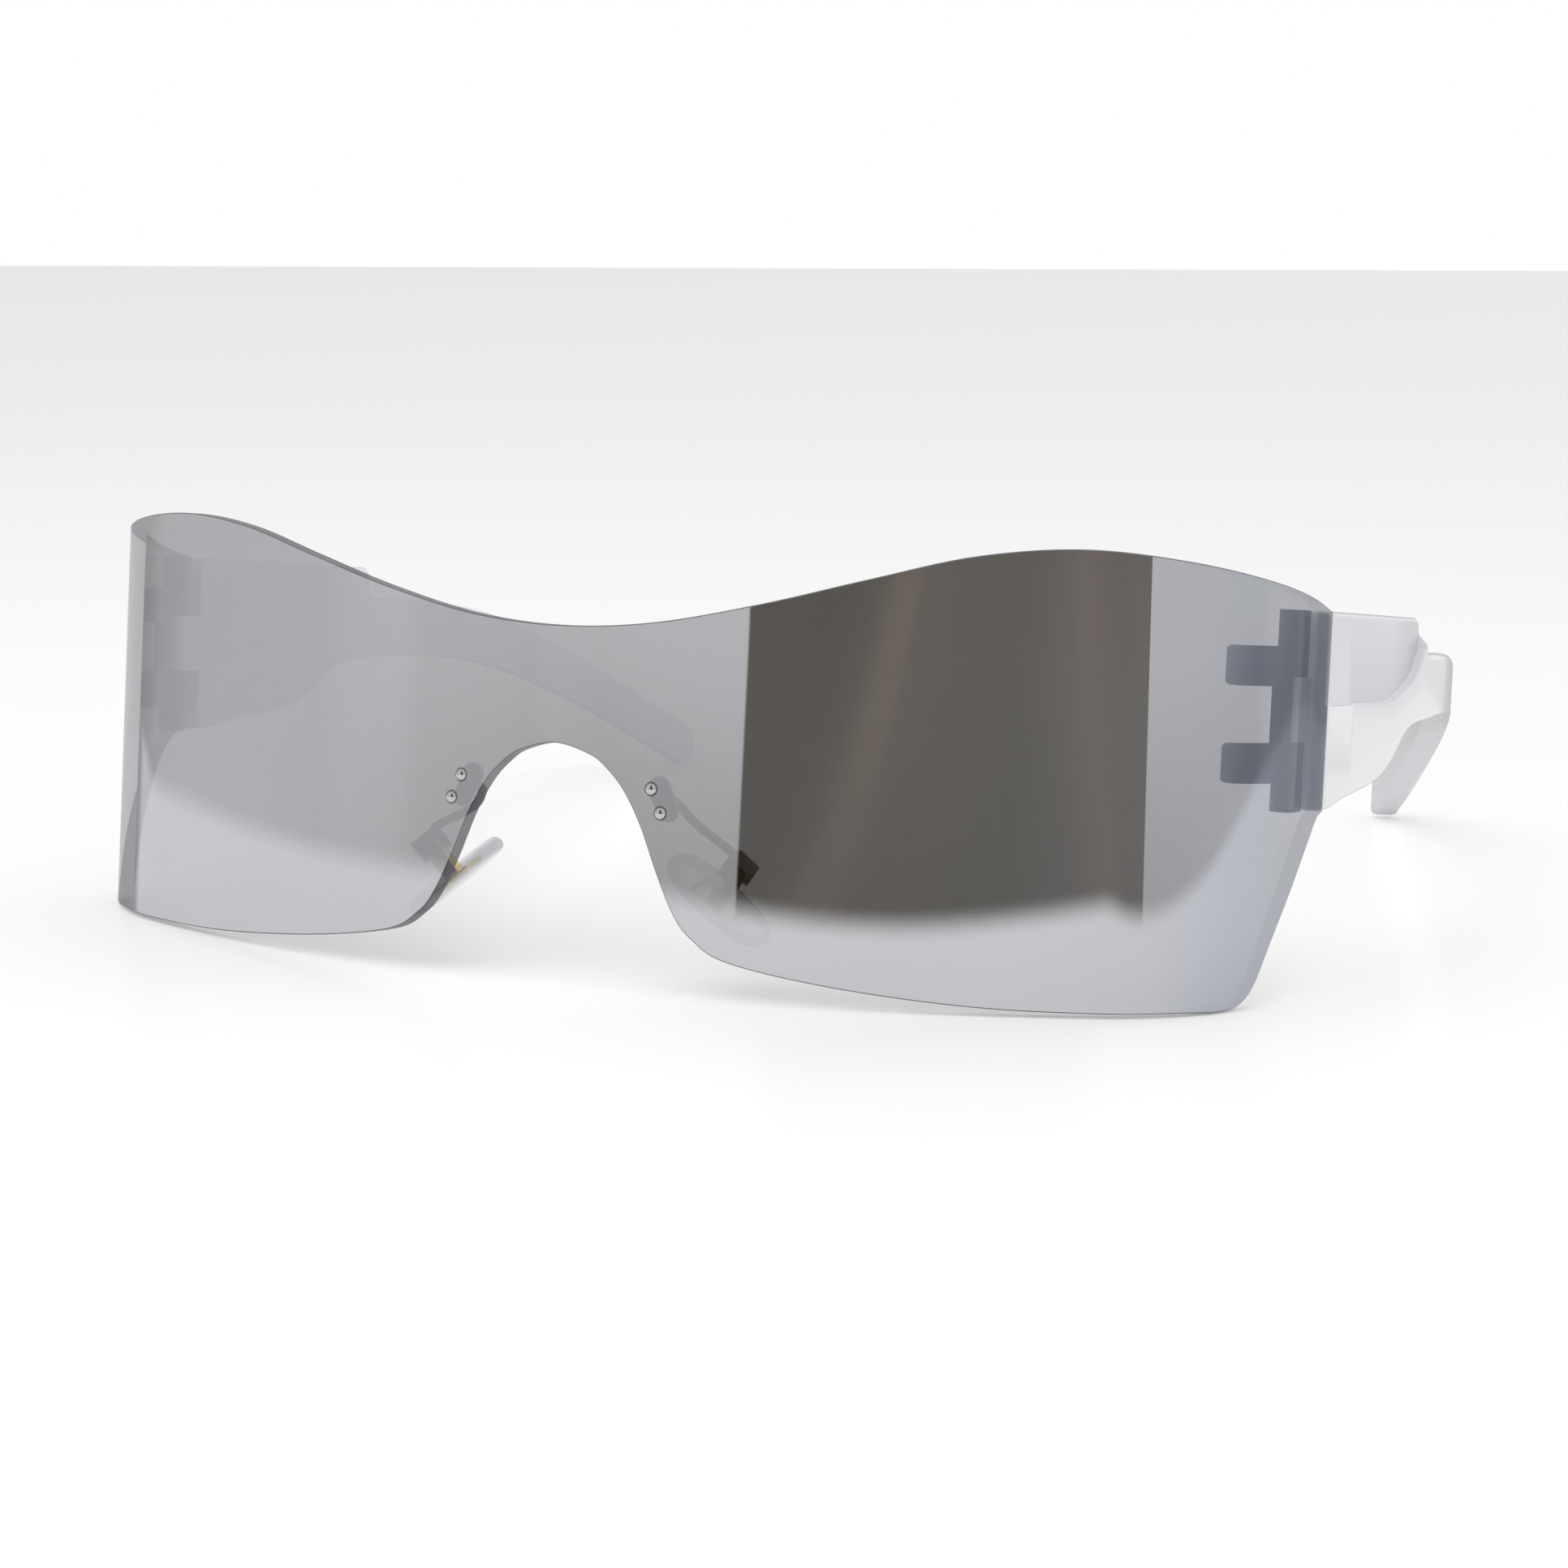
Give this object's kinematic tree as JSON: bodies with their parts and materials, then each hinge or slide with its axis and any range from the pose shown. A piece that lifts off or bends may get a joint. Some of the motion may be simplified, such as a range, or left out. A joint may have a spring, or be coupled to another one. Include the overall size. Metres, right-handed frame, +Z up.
{
  "type": "sunglasses",
  "caption": "Wrapped one-piece mirror shield lens with bonded hinge ends, folding side arms and rocking nose pads on riveted wire arms.",
  "frame": {"origin": "middle of the box's foot, on the table that the open sunglasses stand on", "axes": "+Z up from the table, +X towards the wearer's left along the lens's width, +Y back along the arms"},
  "size_m": [0.146, 0.1326, 0.047],
  "materials": {
    "lens": "thin silver mirror coat on pale grey tinted polycarbonate",
    "endpiece": "moulded nylon, graphite grey",
    "temple_white": "glossy pearl white",
    "clear_sleeve": "clear nylon",
    "bright_metal": "polished studs",
    "dark_metal": "gunmetal plating",
    "screw_steel": "turned steel",
    "gold_metal": "gold-coloured insert",
    "clear_pad": "clear soft silicone"
  },
  "bodies": {
    "front": {"shield_lens": "lens", "endpiece_left": "endpiece", "endpiece_right": "endpiece", "hinge_screw_left": "screw_steel", "hinge_screw_right": "screw_steel", "lens_sleeves_left": "clear_sleeve", "lens_sleeves_right": "clear_sleeve", "lens_rivets_left": "bright_metal", "lens_rivets_right": "bright_metal", "rivet_plate_left": "dark_metal", "rivet_plate_right": "dark_metal", "pad_arm_left": "dark_metal", "pad_arm_right": "dark_metal", "pad_box_left": "dark_metal", "pad_box_right": "dark_metal", "pad_screw_left": "screw_steel", "pad_screw_right": "screw_steel"},
    "temple_left": {"temple_left": "temple_white"},
    "temple_right": {"temple_right": "temple_white"},
    "pad_left": {"pad_insert_left": "gold_metal", "nose_pad_left": "clear_pad"},
    "pad_right": {"pad_insert_right": "gold_metal", "nose_pad_right": "clear_pad"}
  },
  "joints": [
    {"name": "temple_left_fold", "type": "hinge", "parent": "front", "child": "temple_left", "pos_m": [0.06985, -0.03406, 0.02899], "axis": [0, 0.1223, 0.9925], "range_deg": [0, 90]},
    {"name": "temple_right_fold", "type": "hinge", "parent": "front", "child": "temple_right", "pos_m": [-0.06985, -0.03406, 0.02899], "axis": [0, -0.1223, -0.9925], "range_deg": [0, 80]},
    {"name": "pad_left_rock", "type": "hinge", "parent": "front", "child": "pad_left", "pos_m": [0.0186, -0.05945, 0.01247], "axis": [0.0971, 0.9897, 0.105], "range_deg": [-12, 12]},
    {"name": "pad_right_rock", "type": "hinge", "parent": "front", "child": "pad_right", "pos_m": [-0.0186, -0.05945, 0.01247], "axis": [0.0971, -0.9897, -0.105], "range_deg": [-12, 12]}
  ]
}
